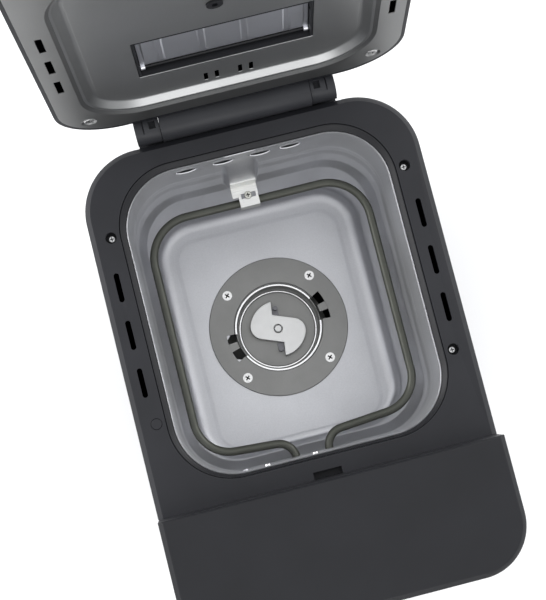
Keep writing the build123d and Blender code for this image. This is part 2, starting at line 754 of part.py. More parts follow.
def power_board():
    """The power circuit board, upright in the front of the casing, with its large parts."""
    board = block((-98, -22), (-209, -207.4), (140, 250))
    for x, z, size in ((-80, 160, 12), (-60, 175, 9), (-40, 160, 8), (-75, 220, 11), (-45, 225, 10)):
        board += block((x - size, x + size), (-207.4, -207.4 + size * 1.2), (z - size, z + size))
    return board


def control_board():
    """The board under the control panel, on four posts' worth of standoff."""
    board = block((-92, 92), (-208, -142), (352, 353.6))
    return fillet(board.edges().filter_by(Axis.Z), 3)


def display_module():
    """The display glass and its frame on the control board."""
    frame = block((-36, 36), (-196, -164), (353.6, 361))
    return fillet(frame.edges().filter_by(Axis.Z), 1.5)


def board_standoffs():
    """Ribs between the front cover's step wall and the control board."""
    return separate(
        block((x - 3, x + 3), (-208, STEP_Y - WALL), (346, 352)) for x in (-80, 80)
    )


def lid_sensor():
    """The reed switch under the latch pocket, which tells that the lid is shut."""
    body = block((-9, 9), (-129, -124), (DECK_Z - 17.5, DECK_Z - 11.2))
    return fillet(body.edges().filter_by(Axis.Z), 1.0)


# ---- hinge ---------------------------------------------------------------------------------

HINGE_SCREWS = [(x, 306) for x in (-40, 0, 40)]


def hinge_barrel():
    """The fixed hinge barrel, on a foot screwed to the back wall."""
    barrel = rod(HINGE_Y, HINGE_Z, BARREL_R, -BARREL_HALF, BARREL_HALF)
    web = block((-BARREL_HALF, BARREL_HALF), (BACK_Y + 0.1, HINGE_Y + 4), (314, HINGE_Z - 6))
    foot = block((-ARM_END, ARM_END), (BACK_Y + 0.1, BACK_Y + 4), (298, 316))
    ledge = block((-ARM_END, ARM_END), (BACK_Y + 0.1, HINGE_Y), (310, 316))
    body = barrel + web + foot + ledge
    for end in (-1, 1):
        body -= rod(HINGE_Y, HINGE_Z, PIN_R, *sorted((end * 44, end * 60)))
    for x, z in HINGE_SCREWS:
        body -= Pos(x, BACK_Y + 2, z) * Rot(90, 0, 0) * Cylinder(1.8, 10)
    return body


def hinge_pins():
    """Two steel pins, fixed in the barrel's ends."""
    return separate(rod(HINGE_Y, HINGE_Z, PIN_R, *sorted((end * 44, end * 75))) for end in (-1, 1))


def hinge_screws():
    """Three screws through the hinge's foot."""
    screw = Rot(90, 0, 0) * pan_head_screw(3.2, 2.0, 1.7, 8)
    turned = Rot(0, 0, 180) * screw
    return separate(Pos(x, BACK_Y + 4, z) * turned for x, z in HINGE_SCREWS)


def lid_hinge_arms():
    """The lid's two arms, one at each end of the barrel."""
    arms = []
    for end in (-1, 1):
        left, right = sorted((end * (BARREL_HALF + 0.35), end * ARM_END))
        arm = rod(HINGE_Y, HINGE_Z, BARREL_R - 0.8, left, right)
        arm += block((left, right), (BACK_Y, HINGE_Y), (DECK_Z + 3, DECK_Z + 17))
        arm += block((left, right), (HINGE_Y - 4, HINGE_Y + 8), (HINGE_Z, DECK_Z + 12))
        arm -= rod(HINGE_Y, HINGE_Z, PIN_R + RUNNING, left - 1, right + 1)
        near, far = sorted((end * (BARREL_HALF + 3), end * (BARREL_HALF + 8)))
        arm -= block((near, far), (HINGE_Y - 12, HINGE_Y - 7), (HINGE_Z - 4, HINGE_Z + 2))
        near, far = sorted((end * (BARREL_HALF + 12), end * (BARREL_HALF + 13)))
        arm -= block((near, far), (HINGE_Y - 12, HINGE_Y - 9), (HINGE_Z - 9, HINGE_Z + 9))
        arms.append(arm)
    return separate(arms)


# ---- lid -----------------------------------------------------------------------------------

HATCH_HALF = 59.0
HATCH_FRONT = 11.5
HATCH_BACK = 70.5
HATCH_PIN_Y = 74.0
HATCH_GAP_BACK = 79.0
HATCH_PIN_Z = LID_TOP_Z - 3.4
VENT_X = (-16.2, -8.2, 8.8, 16.8)
LID_SCREW_SPOTS = ((105.5, 113.0), (-105.5, 113.0), (108.0, -117.0), (-108.0, -117.0))
LID_PLUG_SPOT = (-3.5, -21.0)
DIMPLE_R = 5.4
DIMPLE_DEPTH = 1.5


def lid_shell():
    """The lid's outer moulding, which rests flat over the deck."""
    solid = slab(lid_plan(), LID_RIM_Z, LID_TOP_Z)
    rim = solid.faces().sort_by(Axis.Z)[-1].edges().sort_by(Axis.Y)[1:]
    solid = chamfer(rim, PANEL_BEVEL)
    solid -= slab(lid_plan(WALL), DECK_Z - 10, LID_TOP_Z - 4)
    gap_half = HATCH_HALF + 0.5
    solid -= block((-gap_half, gap_half), (HATCH_FRONT - 0.5, HATCH_GAP_BACK), (360, 380))
    for end in (-1, 1):
        left, right = sorted((end * 47, end * 52))
        lug_front = HATCH_PIN_Y - 2.2
        lug = block((left, right), (lug_front, HATCH_GAP_BACK + 1), (LID_TOP_Z - 7, LID_TOP_Z - 1))
        solid += lug - rod(HATCH_PIN_Y, HATCH_PIN_Z, 1.5, left - 1, right + 1)
    for x, y in LID_SCREW_SPOTS:
        boss_low = LID_RIM_Z + DIMPLE_DEPTH + SHEET
        solid += post(x, y, 4.5, boss_low, LID_TOP_Z - 3) - post(x, y, 1.9, boss_low, 360)
    return solid


def recess_plan(grow=0.0):
    """The dished part of the lid's liner, seen from above."""
    return plan_rect(106.2 + grow, -112.0 - grow, 117.9 + grow, 45 + grow)


def dimple(grow, low, high):
    """A tapered dent round a lining screw."""
    base, top = DIMPLE_R + grow, DIMPLE_R - 1.2 + grow
    return Pos(0, 0, low) * Cone(base, top, high - low, align=(Align.CENTER, Align.CENTER, Align.MIN))


def lid_liner():
    """The lid's steel lining: a flat rim and a shallow stepped dish."""
    rim_low = LID_RIM_Z
    steps = ((0.0, 0.0), (1.6, -2.8), (2.0, -4.6), (RECESS_DEPTH, -9.5))
    sections = [(rim_low + rise, recess_plan, grow) for rise, grow in steps]
    top = (rim_low + RECESS_DEPTH + SHEET, recess_plan, steps[-1][1])
    liner = stack([*sections, top], SHEET)
    liner += slab(lid_plan(WALL + 0.1), rim_low, rim_low + SHEET)
    liner -= block((-8, 8), (LID_FRONT, -127.1), (rim_low - 1, rim_low + 2))
    for x, y in LID_SCREW_SPOTS:
        liner += Pos(x, y, 0) * dimple(SHEET, rim_low, rim_low + DIMPLE_DEPTH + SHEET)
        liner -= Pos(x, y, 0) * dimple(0.0, rim_low, rim_low + DIMPLE_DEPTH)
    liner -= stack(sections)
    high = rim_low + RECESS_DEPTH + 2
    liner -= block((-HOPPER_HALF, HOPPER_HALF), (HOPPER_FRONT, HOPPER_BACK), (rim_low, high))
    for x in VENT_X:
        liner -= block((x - 1.5, x + 1.5), (91, 106), (rim_low, high))
    for side in (-1, 1):
        for i in (-1, 0, 1):
            y = 1.0 + i * SLOT_PITCH
            x = side * SLOT_X
            liner -= block((x - 2.2, x + 2.2), (y - 10.5, y + 10.5), (rim_low - 1, high))
    for x, y in LID_SCREW_SPOTS:
        liner -= post(x, y, 1.9, rim_low - 1, high)
    return liner - post(*LID_PLUG_SPOT, 5.6, rim_low, high)


def lid_liner_screws():
    """Four screws that hold the lining, heads towards the chamber."""
    screw = Rot(180, 0, 0) * pan_head_screw(3.6, 1.4, 1.8, 8)
    seat = LID_RIM_Z + DIMPLE_DEPTH
    return separate(Pos(x, y, seat) * screw for x, y in LID_SCREW_SPOTS)


def lid_plug():
    """The dark round plug in the middle of the lining."""
    x, y = LID_PLUG_SPOT
    low = LID_RIM_Z + RECESS_DEPTH
    plug = post(x, y, 5.5, low - 1.2, low + 5)
    return plug - post(x, y, 2.2, low - 2, low + 1)


def lid_latch_tongue():
    """The tongue at the lid's front edge, which drops into the deck's pocket."""
    tongue = block((-7.5, 7.5), (-130.4, -127.2), (DECK_Z - 6, LID_RIM_Z))
    tongue += block((-7.5, 7.5), (-128.4, -127.2), (LID_RIM_Z - 1, LID_RIM_Z + 2))
    tongue += block((-14, 14), (-128.4, -119), (LID_RIM_Z + SHEET, LID_RIM_Z + 4))
    return tongue


def sensor_magnet():
    """The magnet behind the tongue."""
    return block((-6, 6), (-126, -121), (LID_RIM_Z + 4, LID_RIM_Z + 8))


def dispenser_hopper():
    """The hopper for nuts and fruit, open to the hatch above and the flap below."""
    half = HOPPER_HALF - 0.4
    front, back = HOPPER_FRONT + 0.4, HOPPER_BACK - 0.4
    low, high = LID_RIM_Z + RECESS_DEPTH + 0.2, LID_TOP_Z - 7.4
    outer = block((-half, half), (front, back), (low, high))
    inner = block(
        (-half + HOPPER_WALL, half - HOPPER_WALL),
        (front + HOPPER_WALL, back - HOPPER_WALL),
        (low - 1, high + 1),
    )
    hopper = outer - inner
    lip = block((-68, 68), (front - 5, back + 5), (high - 1.6, high)) - inner
    hopper += lip
    hopper -= rod(FLAP_PIVOT_Y, FLAP_Z, 1.6, -half - 1, half + 1)
    return hopper - rod(PLUNGER_Y, FLAP_Z, 3.3, half - 4, half + 4)


FLAP_HALF = 59.4
FLAP_CELLS = ((-56, -46), (-42, -17), (-12.5, 12.5), (17, 42), (46, 56))


def dispenser_flap():
    """The pressed-metal flap under the hopper, with stub pivots at its back edge."""
    front, back = HOPPER_FRONT + 3.0, FLAP_PIVOT_Y - 2.8
    plate = block((-FLAP_HALF, FLAP_HALF), (front, back), (FLAP_Z - 0.6, FLAP_Z + 0.6))
    for left, right in FLAP_CELLS:
        cell = block((left, right), (front + 5, FLAP_PIVOT_Y - 7), (FLAP_Z - 1.4, FLAP_Z))
        plate += fillet(cell.edges().filter_by(Axis.Z), 2.5)
    for left, right in ((-FLAP_HALF, -FLAP_HALF + 3), (FLAP_HALF - 3, FLAP_HALF)):
        plate += rod(FLAP_PIVOT_Y, FLAP_Z, 2.4, left, right)
        plate += block((left, right), (back - 1, FLAP_PIVOT_Y), (FLAP_Z - 0.6, FLAP_Z + 0.6))
    return plate + rod(FLAP_PIVOT_Y, FLAP_Z, 1.5, -HOPPER_HALF + 0.5, HOPPER_HALF - 0.5)


PLUNGER_Y = 30.0


def dispenser_solenoid():
    """The solenoid beside the hopper that frees the flap."""
    body = block((76, 100), (PLUNGER_Y - 10, PLUNGER_Y + 10), (FLAP_Z - 4.2, FLAP_Z + 18))
    body = fillet(body.edges().filter_by(Axis.X), 2)
    return body - rod(PLUNGER_Y, FLAP_Z, 3.3, 70, 96)


def solenoid_plunger():
    """The solenoid's plunger, its tip beside the flap's edge."""
    pin = rod(PLUNGER_Y, FLAP_Z, 2.8, 60.6, 88)
    return pin + rod(PLUNGER_Y, FLAP_Z, 4.4, 66, 67.5)


def dispenser_hatch():
    """The hinged cover over the hopper, in the lid's top."""
    plate = block((-HATCH_HALF, HATCH_HALF), (HATCH_FRONT, HATCH_BACK), (LID_TOP_Z - 3, LID_TOP_Z))
    plate = fillet(plate.edges().filter_by(Axis.Z), 2.5)
    plate = chamfer(plate.faces().sort_by(Axis.Z)[-1].edges(), 0.6)
    for left, right in ((-44, -24), (24, 44)):
        plate += rod(HATCH_PIN_Y, HATCH_PIN_Z, 3.0, left, right)
        plate += block((left, right), (HATCH_BACK - 4, HATCH_PIN_Y), (HATCH_PIN_Z - 2, HATCH_PIN_Z + 2))
        plate -= rod(HATCH_PIN_Y, HATCH_PIN_Z, 1.5 + RUNNING, left - 1, right + 1)
    grip = Pos(0, HATCH_FRONT + 1.5, LID_TOP_Z) * Rot(0, 90, 0) * Cylinder(2.2, 26)
    return plate - grip


def hatch_seal():
    """The soft gasket under the hatch."""
    low, high = LID_TOP_Z - 7.2, LID_TOP_Z - 3
    outer = Pos(0, 41) * RectangleRounded(112, 50, 5)
    return slab(outer - offset(outer, -2.4), low, high)


def hatch_pin():
    """The steel rod that the hatch turns on."""
    return rod(HATCH_PIN_Y, HATCH_PIN_Z, 1.5, -52, 52)


# ---- assembly ------------------------------------------------------------------------------

HOUSING_PARTS = (
    base_plate, rubber_feet, body_shell, front_cover, control_panel, top_deck,
    chamber_trim_ring, deck_screws, deck_screw_plug, chamber_liner, heat_shield,
    heater_element, heater_terminals, heater_clip, heater_clip_screw, temperature_sensor,
    thermal_fuse, wall_rivets, pan_mount_flange, flange_screws, well_cup, bearing_housing,
    shaft_bushes, shaft_seal, drive_belt, motor_stator, motor_end_bells, motor_bracket,
    motor_grommets, chassis_posts, cord_gland, motor_capacitor, power_board,
    control_board, display_module, board_standoffs, lid_sensor, hinge_barrel,
    hinge_pins, hinge_screws, drive_shaft, kneading_coupler, coupler_dogs, drive_pulley,
    motor_rotor, motor_pulley,
)
LID_PARTS = (
    lid_shell, lid_liner, lid_liner_screws, lid_plug, lid_hinge_arms, lid_latch_tongue,
    sensor_magnet, dispenser_hopper, dispenser_flap, dispenser_solenoid, solenoid_plunger,
    dispenser_hatch, hatch_seal, hatch_pin,
)


def main():
    os.makedirs("parts", exist_ok=True)
    for make in HOUSING_PARTS:
        export_step(make(), f"parts/{make.__name__}.step")
    for make in LID_PARTS:
        export_step(opened(make()), f"parts/{make.__name__}.step")


main()
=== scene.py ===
"""Looks of the bread machine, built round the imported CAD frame.

Lengths are millimetres in the helpers' arguments and metres in Blender. Lid pieces are drawn
shut, as in the CAD, and turned open about the hinge before they ride on the lid.
"""

import json
import math

import bpy
from mathutils import Matrix, Vector


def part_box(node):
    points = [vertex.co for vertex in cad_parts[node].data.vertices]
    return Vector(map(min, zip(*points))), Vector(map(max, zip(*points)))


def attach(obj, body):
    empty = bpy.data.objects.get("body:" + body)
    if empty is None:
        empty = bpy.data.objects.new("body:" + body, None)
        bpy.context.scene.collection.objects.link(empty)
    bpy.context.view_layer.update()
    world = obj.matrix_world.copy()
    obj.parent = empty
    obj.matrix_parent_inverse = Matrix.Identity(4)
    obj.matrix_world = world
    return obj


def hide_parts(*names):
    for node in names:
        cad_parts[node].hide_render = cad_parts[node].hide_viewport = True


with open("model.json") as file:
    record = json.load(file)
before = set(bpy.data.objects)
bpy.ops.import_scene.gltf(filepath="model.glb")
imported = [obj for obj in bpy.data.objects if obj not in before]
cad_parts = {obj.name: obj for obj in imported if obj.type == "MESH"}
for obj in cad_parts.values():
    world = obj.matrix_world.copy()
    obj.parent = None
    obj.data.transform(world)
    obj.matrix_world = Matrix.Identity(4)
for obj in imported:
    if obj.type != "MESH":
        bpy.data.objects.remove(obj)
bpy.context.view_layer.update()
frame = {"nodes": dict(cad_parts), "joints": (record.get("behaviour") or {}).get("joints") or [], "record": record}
nodes = frame["nodes"]

MM = 0.001


def box_mm(node):
    """Lowest and highest corner of a CAD node, in millimetres."""
    low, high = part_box(node)
    return low / MM, high / MM


# ---- driving dimensions, from the frame where it gives them -----------------------------------

DECK_Z = box_mm("top_deck")[1].z
SHEET = 0.8
BEAD = 2.4
BEAD_SHOWN = 0.9
FLOOR_Z = box_mm("pan_mount_flange")[1].z - 2.2
liner_low, liner_high = box_mm("chamber_liner")
CHAMBER_HALF = liner_high.x - BEAD - SHEET
CHAMBER_FRONT = liner_low.y + BEAD + SHEET
CHAMBER_BACK = liner_high.y - BEAD - SHEET
CHAMBER_RADIUS = 43.0
LOWER_HALF, LOWER_FRONT, LOWER_BACK, LOWER_RADIUS = 93.0, -106.0, 112.5, 38.0
LINER_TOP = liner_high.z
LOUVRE_X = (-46.5, -17.8, 10.8, 34.0)
LOUVRE_Z = LINER_TOP - 12.7
CLIP_X = -5.0
PAD_HALF = 12.0
PAD_DEPTH = 7.5
ring_low, ring_high = box_mm("chamber_trim_ring")
RING_RADIUS = 47.0
heater_low, heater_high = box_mm("heater_element")
HEATER_R = (heater_high.z - heater_low.z) / 2
HEATER_Z = (heater_high.z + heater_low.z) / 2
FLANGE_Z = box_mm("pan_mount_flange")[1].z
FLANGE_HOLE_R = 40.5
NOTCH_R = 47.2
NOTCHES = ((-4.0, 28.0), (176.0, 208.0))
NOTCH_SPARE = 2.5
cup_low, cup_high = box_mm("well_cup")
CUP_BOTTOM = cup_low.z + SHEET
CUP_BASE_R = 35.0
CUP_TOP = cup_high.z - 0.9

lid_hinge = next(j for j in frame["joints"] if j["name"] == "lid_hinge")
HINGE = Vector(lid_hinge["pos_m"])
OPEN_ANGLE = 96.57
LID_RIM_Z = DECK_Z + 0.6
RECESS_DEPTH = 7.0
LID_HALF = 124.9
LID_INNER_FRONT = -128.4
LID_INNER_BACK = 135.0
LID_INNER_RADIUS = 44.3
SLOT_X = 115.0
SLOT_PITCH = 36.1
HOPPER_HALF = 62.0
HOPPER_FRONT = 12.0
HOPPER_BACK = 71.6
FLAP_Z = LID_RIM_Z + RECESS_DEPTH + 5.5
FLAP_PIVOT_Y = HOPPER_BACK - 5.0
FLAP_HALF = 59.4

OPENED = (
    Matrix.Translation(HINGE)
    @ Matrix.Rotation(-math.radians(OPEN_ANGLE), 4, "X")
    @ Matrix.Translation(-HINGE)
)

# ---- materials ------------------------------------------------------------------------------


class Look:
    """A material under construction: its nodes, and the shader that ends them."""

    def __init__(self, name, **shader):
        self.material = bpy.data.materials.new(name)
        self.material.use_nodes = True
        self.tree = self.material.node_tree
        self.shader = self.tree.nodes["Principled BSDF"]
        for key, value in shader.items():
            self.shader.inputs[key.replace("_", " ")].default_value = value
        self.place = self.node("ShaderNodeTexCoord").outputs["Object"]

    def node(self, kind, **settings):
        made = self.tree.nodes.new(kind)
        for key, value in settings.items():
            setattr(made, key, value)
        return made

    def link(self, source, target):
        self.tree.links.new(source, target)

    def stretched(self, scale):
        """Object coordinates scaled apart along the axes."""
        mapping = self.node("ShaderNodeMapping")
        mapping.inputs["Scale"].default_value = scale
        self.link(self.place, mapping.inputs["Vector"])
        return mapping.outputs["Vector"]

    def noise(self, size_mm, detail=2.0, place=None, roughness=0.5):
        """Noise with features of about the given size."""
        texture = self.node("ShaderNodeTexNoise")
        texture.inputs["Scale"].default_value = 1 / (size_mm * MM)
        texture.inputs["Detail"].default_value = detail
        texture.inputs["Roughness"].default_value = roughness
        self.link(place or self.place, texture.inputs["Vector"])
        return texture.outputs["Fac"]

    def ramp(self, source, low, high, start=0.35, end=0.65):
        """A value or colour that runs from low to high as the source does."""
        if isinstance(low, (int, float)):
            made = self.node("ShaderNodeMapRange")
            made.inputs["From Min"].default_value = start
            made.inputs["From Max"].default_value = end
            made.inputs["To Min"].default_value = low
            made.inputs["To Max"].default_value = high
            self.link(source, made.inputs["Value"])
            return made.outputs["Result"]
        made = self.node("ShaderNodeValToRGB")
        made.color_ramp.elements[0].position = start
        made.color_ramp.elements[0].color = (*low, 1)
        made.color_ramp.elements[1].position = end
        made.color_ramp.elements[1].color = (*high, 1)
        self.link(source, made.inputs["Fac"])
        return made.outputs["Color"]

    def feed(self, source, socket):
        self.link(source, self.shader.inputs[socket])

    def bump(self, source, depth_mm, strength=1.0, before=None):
        """Relief from a height map, on top of any earlier relief."""
        made = self.node("ShaderNodeBump")
        made.inputs["Distance"].default_value = depth_mm * MM
        made.inputs["Strength"].default_value = strength
        self.link(source, made.inputs["Height"])
        if before is not None:
            self.link(before, made.inputs["Normal"])
        self.feed(made.outputs["Normal"], "Normal")
        return made.outputs["Normal"]


def tinted(colour, factor):
    return tuple(min(1.0, c * factor) for c in colour)


def plastic(name, colour, rough, grain_mm=0.45, grain_depth=0.02, spread=0.10):
    """Moulded plastic with a fine spark-eroded grain and faint flow marks."""
    look = Look(name, Roughness=rough, Specular_IOR_Level=0.3)
    cloud = look.noise(45, detail=3)
    look.feed(look.ramp(cloud, tinted(colour, 1 - spread), tinted(colour, 1 + spread)), "Base Color")
    grain = look.noise(grain_mm, detail=3, roughness=0.6)
    look.feed(look.ramp(grain, rough - 0.02, rough + 0.02), "Roughness")
    look.bump(grain, grain_depth)
    return look.material


def steel(name, colour, rough, sparkle_mm=0.9, sparkle=0.05, wave_mm=60, grain_depth=0.004):
    """Sheet metal with a fine crystalline sparkle and slow changes of tone."""
    look = Look(name, Metallic=1.0, Roughness=rough)
    crystals = look.noise(sparkle_mm, detail=4, roughness=0.7)
    tone = look.ramp(crystals, tinted(colour, 1 - sparkle), tinted(colour, 1 + sparkle))
    slow = look.ramp(look.noise(wave_mm, detail=2), tinted((1, 1, 1), 0.93), (1.0, 1.0, 1.0))
    mix = look.node("ShaderNodeMix", data_type="RGBA", blend_type="MULTIPLY")
    mix.inputs["Factor"].default_value = 1.0
    look.link(tone, mix.inputs["A"])
    look.link(slow, mix.inputs["B"])
    look.feed(mix.outputs["Result"], "Base Color")
    look.feed(look.ramp(crystals, rough - 0.02, rough + 0.02), "Roughness")
    look.bump(crystals, grain_depth)
    return look.material


def brushed(name, colour, rough, along=(0.02, 1.0, 1.0), line_mm=0.35, depth=0.006):
    """Metal with fine parallel grinding lines, long on the axis with the small factor."""
    look = Look(name, Metallic=1.0, Roughness=rough)
    lines = look.noise(line_mm, detail=3, place=look.stretched(along), roughness=0.65)
    look.feed(look.ramp(lines, tinted(colour, 0.86), tinted(colour, 1.10)), "Base Color")
    look.feed(look.ramp(lines, rough + 0.07, rough - 0.05), "Roughness")
    look.bump(lines, depth)
    return look.material


def turned(name, colour, rough, ring_mm=0.5, depth=0.006):
    """Metal faced on a lathe, with fine rings round the drive shaft's axis."""
    look = Look(name, Metallic=1.0, Roughness=rough)
    rings = look.node("ShaderNodeTexWave", wave_type="RINGS", rings_direction="Z")
    rings.inputs["Scale"].default_value = 1 / (20 * ring_mm * MM)
    rings.inputs["Distortion"].default_value = 1.5
    rings.inputs["Detail"].default_value = 3.0
    look.link(look.place, rings.inputs["Vector"])
    lines = rings.outputs["Fac"]
    patches = look.noise(14, detail=4)
    tone = look.ramp(lines, tinted(colour, 0.90), tinted(colour, 1.08), 0.2, 0.8)
    worn = look.ramp(patches, (0.88, 0.88, 0.88), (1.0, 1.0, 1.0))
    mix = look.node("ShaderNodeMix", data_type="RGBA", blend_type="MULTIPLY")
    mix.inputs["Factor"].default_value = 1.0
    look.link(tone, mix.inputs["A"])
    look.link(worn, mix.inputs["B"])
    look.feed(mix.outputs["Result"], "Base Color")
    look.feed(look.ramp(patches, rough - 0.05, rough + 0.08), "Roughness")
    look.bump(lines, depth)
    return look.material


def rough_cast(name, colour, rough, metallic=0.0, lump_mm=1.2, depth=0.08, spread=0.15):
    """A cast, fired or oxidised surface, with small lumps and specks."""
    look = Look(name, Metallic=metallic, Roughness=rough)
    lumps = look.noise(lump_mm, detail=5, roughness=0.6)
    patches = look.noise(9, detail=4)
    look.feed(look.ramp(patches, tinted(colour, 1 - spread), tinted(colour, 1 + spread)), "Base Color")
    look.feed(look.ramp(lumps, rough - 0.08, rough + 0.08), "Roughness")
    look.bump(lumps, depth)
    return look.material


def screw_metal_with_painted_shade(name, axis, level, colour=(0.80, 0.80, 0.79)):
    """Bright screw heads with painted shade: below a level along an axis, the cross recess and the head's sides
    are painted near-black.
    """
    look = Look(name, Metallic=1.0, Roughness=0.28)
    along = look.node("ShaderNodeVectorMath", operation="DOT_PRODUCT")
    along.inputs[1].default_value = axis
    look.link(look.place, along.inputs[0])
    edge = (level * MM - 0.00004, level * MM + 0.00004)
    tone = look.ramp(along.outputs["Value"], 0.0, 1.0, *edge)
    worn = look.ramp(look.noise(1.5, detail=3), tinted(colour, 0.85), colour)
    mix = look.node("ShaderNodeMix", data_type="RGBA")
    # painted shade: near-black for the cross recess and the head's sides below the level
    mix.inputs["A"].default_value = (0.012, 0.012, 0.012, 1)
    look.link(tone, mix.inputs["Factor"])
    look.link(worn, mix.inputs["B"])
    look.feed(mix.outputs["Result"], "Base Color")
    look.feed(look.ramp(look.noise(1.0), 0.22, 0.34), "Roughness")
    return look.material


LOOKS = {
    "casing": plastic("casing_plastic", (0.0135, 0.0140, 0.0170), 0.48),
    "panel": plastic("panel_plastic", (0.0080, 0.0084, 0.0105), 0.42, grain_mm=0.3, grain_depth=0.008),
    "trim": plastic("trim_plastic", (0.0105, 0.0108, 0.0130), 0.48, grain_mm=0.35, grain_depth=0.012),
    "chamber_steel": steel("chamber_steel", (0.66, 0.665, 0.685), 0.42),
    "shield_steel": steel("shield_steel", (0.60, 0.60, 0.62), 0.34, sparkle_mm=6, sparkle=0.12),
    "lid_steel": steel("lid_steel", (0.42, 0.425, 0.425), 0.40, sparkle_mm=0.7, sparkle=0.04),
    "flange_steel": steel("flange_steel", (0.27, 0.27, 0.262), 0.40, sparkle_mm=0.5, wave_mm=24),
    "coupler_metal": rough_cast("coupler_metal", (0.93, 0.93, 0.915), 0.48, 0.9, 0.5, 0.008, 0.015),
    "cast_metal": rough_cast("cast_metal", (0.45, 0.45, 0.46), 0.5, 1.0, 1.4, 0.10),
    "dark_steel": brushed("dark_steel", (0.16, 0.16, 0.17), 0.32, depth=0.003),
    "heater_sheath": rough_cast("heater_sheath", (0.075, 0.078, 0.064), 0.40, 0.35, 0.6, 0.01, 0.06),
    "clip_metal": brushed("clip_metal", (0.80, 0.80, 0.78), 0.38, depth=0.002),
    "bright_screws": brushed("bright_screws", (0.82, 0.82, 0.81), 0.24, depth=0.001),
    "rubber": rough_cast("black_rubber", (0.022, 0.022, 0.022), 0.75, 0.0, 0.5, 0.03),
    "inner_plastic": plastic("inner_plastic", (0.62, 0.62, 0.60), 0.5, spread=0.04),
    "bush_brass": turned("bush_brass", (0.62, 0.48, 0.22), 0.3),
    "ceramic": rough_cast("ceramic", (0.85, 0.84, 0.80), 0.55, 0.0, 0.4, 0.01),
    "motor_iron": rough_cast("motor_iron", (0.22, 0.22, 0.23), 0.5, 0.9, 0.7, 0.05),
    "board": plastic("board_resist", (0.035, 0.16, 0.055), 0.3, spread=0.15),
    "display_glass": plastic("display_glass", (0.010, 0.010, 0.012), 0.12, grain_depth=0.001),
    "capacitor_can": brushed("capacitor_can", (0.70, 0.70, 0.70), 0.3, along=(1, 1, 0.03)),
    "magnet": rough_cast("magnet", (0.30, 0.30, 0.32), 0.4, 1.0, 0.9, 0.03),
}
FLAP_LOOK = steel("flap_steel", (0.76, 0.77, 0.81), 0.38, sparkle_mm=0.7, sparkle=0.03)
# Painted shade: a darker copy of the lid's steel for its rim, which is one sheet with the dish.
RIM_PAINTED_SHADE_LOOK = steel("lid_rim_steel_painted_shade", (0.27, 0.272, 0.27), 0.42, sparkle_mm=0.7, sparkle=0.04)
BEAD_LOOK = brushed("bead_steel", (0.97, 0.97, 0.97), 0.16, depth=0.001)
# Painted light: the hinge gets a lighter copy of the casing's plastic, to make up for the shade of the open lid.
HINGE_PAINTED_LIGHT_LOOK = plastic("hinge_plastic_painted_light", (0.027, 0.028, 0.032), 0.45)
SHAFT_LOOK = turned("shaft_steel", (0.66, 0.66, 0.65), 0.3, ring_mm=0.2)

# The lid is shown open, so the level below which its screws are painted dark as painted shade is measured along
# the turned upright axis.
LID_AXIS = OPENED.to_3x3() @ Vector((0, 0, -1))
LID_OFFSET = (OPENED.inverted().translation.z) / MM
SCREW_LOOKS_WITH_PAINTED_SHADE = {
    "flange_screws": screw_metal_with_painted_shade("flange_screw_painted_shade", (0, 0, 1), FLANGE_Z - 0.4),
    "deck_screws": screw_metal_with_painted_shade("deck_screw_painted_shade", (0, 0, 1), DECK_Z - 8.3, (0.6, 0.6, 0.6)),
    "heater_clip_screw": screw_metal_with_painted_shade("clip_screw_painted_shade", (0, 0, 1), HEATER_Z + 8.95, (0.6, 0.6, 0.55)),
    "hinge_screws": screw_metal_with_painted_shade("hinge_screw_painted_shade", (0, 1, 0), box_mm("hinge_screws")[1].y - 0.8),
    "lid_liner_screws": screw_metal_with_painted_shade("lid_screw_painted_shade", LID_AXIS, LID_OFFSET - LID_RIM_Z - 0.75),
}

NODE_LOOKS = {
    **SCREW_LOOKS_WITH_PAINTED_SHADE,
    "drive_shaft": SHAFT_LOOK,
    # painted light: the hinge pieces use the lightened casing plastic
    "hinge_barrel": HINGE_PAINTED_LIGHT_LOOK,
    "lid_hinge_arms": HINGE_PAINTED_LIGHT_LOOK,
    "cord_gland": LOOKS["rubber"],
}

SLOT_OF = {part["node"]: part["material_slot"] for part in frame["record"]["subparts"]}


def paint(obj, slot):
    obj.data.materials.clear()
    obj.data.materials.append(LOOKS[slot])


EDGE = {
    "body_shell": 0.6, "front_cover": 0.6, "control_panel": 0.45, "top_deck": 0.35,
    "lid_shell": 0.5, "hinge_barrel": 0.4, "lid_hinge_arms": 0.5, "base_plate": 0.6,
    "rubber_feet": 0.8, "dispenser_hatch": 0.3, "heater_clip": 0.2, "lid_latch_tongue": 0.3,
    "coupler_dogs": 0.3, "kneading_coupler": 0.5, "pan_mount_flange": 0.3,
    "bearing_housing": 0.4, "cord_gland": 0.4, "deck_screw_plug": 0.15,
}


def soften_edges(obj, width_mm):
    """Joins the mesh's split corners, clears its flat faces' triangles and rounds hard edges."""
    weld = obj.modifiers.new("join", "WELD")
    weld.merge_threshold = 0.01 * MM
    flat = obj.modifiers.new("flat", "DECIMATE")
    flat.decimate_type = "DISSOLVE"
    flat.angle_limit = math.radians(0.5)
    bevel = obj.modifiers.new("edges", "BEVEL")
    bevel.width = width_mm * MM
    bevel.segments = 3
    bevel.limit_method = "ANGLE"
    bevel.angle_limit = math.radians(30)
    bevel.use_clamp_overlap = True
    bevel.harden_normals = True


for name, node in nodes.items():
    paint(node, SLOT_OF[name])
    if name in NODE_LOOKS:
        node.data.materials[0] = NODE_LOOKS[name]
    if name in EDGE:
        soften_edges(node, EDGE[name])

# ---- shapes -----------------------------------------------------------------------------------


def arc_points(centre, radius, start, end, steps):
    """Points on an arc, both ends included, angles in degrees."""
    points = []
    for i in range(steps + 1):
        angle = math.radians(start + (end - start) * i / steps)
        points.append((centre[0] + radius * math.cos(angle), centre[1] + radius * math.sin(angle)))
    return points


